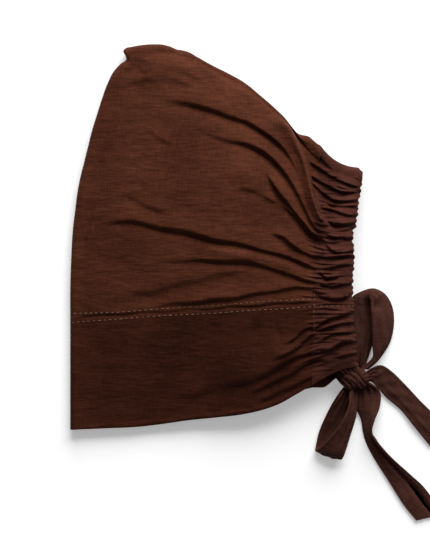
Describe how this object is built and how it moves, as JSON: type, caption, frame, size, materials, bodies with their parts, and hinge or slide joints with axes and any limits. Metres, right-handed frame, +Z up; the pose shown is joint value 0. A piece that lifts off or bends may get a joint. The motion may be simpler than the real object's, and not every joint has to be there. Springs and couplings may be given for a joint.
{
  "type": "tie-back underscarf cap",
  "caption": "Soft woven underscarf cap lying flat on its side: gathered crown, wide doubled face band, drawn nape casing and a tied bow; open at face and nape.",
  "frame": {"origin": "on the surface that the cap lies on, under the middle of its bounding box", "axes": "+Z up from that surface, +Y from the face edge to the crown's top, +X from the midline fold to the nape"},
  "size_m": [0.2244, 0.2862, 0.0236],
  "materials": {
    "crown_cloth": "chocolate brown plain-woven cotton, soft matt with a faint sheen",
    "band_cloth": "the same cloth, doubled and pressed",
    "casing_cloth": "the same cloth, turned and drawn up in fine pleats",
    "tie_cloth": "the same cloth, sewn as narrow ties",
    "stitch_thread": "lighter brown sewing thread"
  },
  "bodies": {
    "root": {"crown": "crown_cloth", "front_band": "band_cloth", "nape_casing": "casing_cloth", "tie_root_near": "tie_cloth", "tie_root_far": "tie_cloth", "bow_knot": "tie_cloth", "bow_loop_upper": "tie_cloth", "bow_loop_lower": "tie_cloth", "tie_tail_upper": "tie_cloth", "tie_tail_lower": "tie_cloth"}
  },
  "joints": []
}
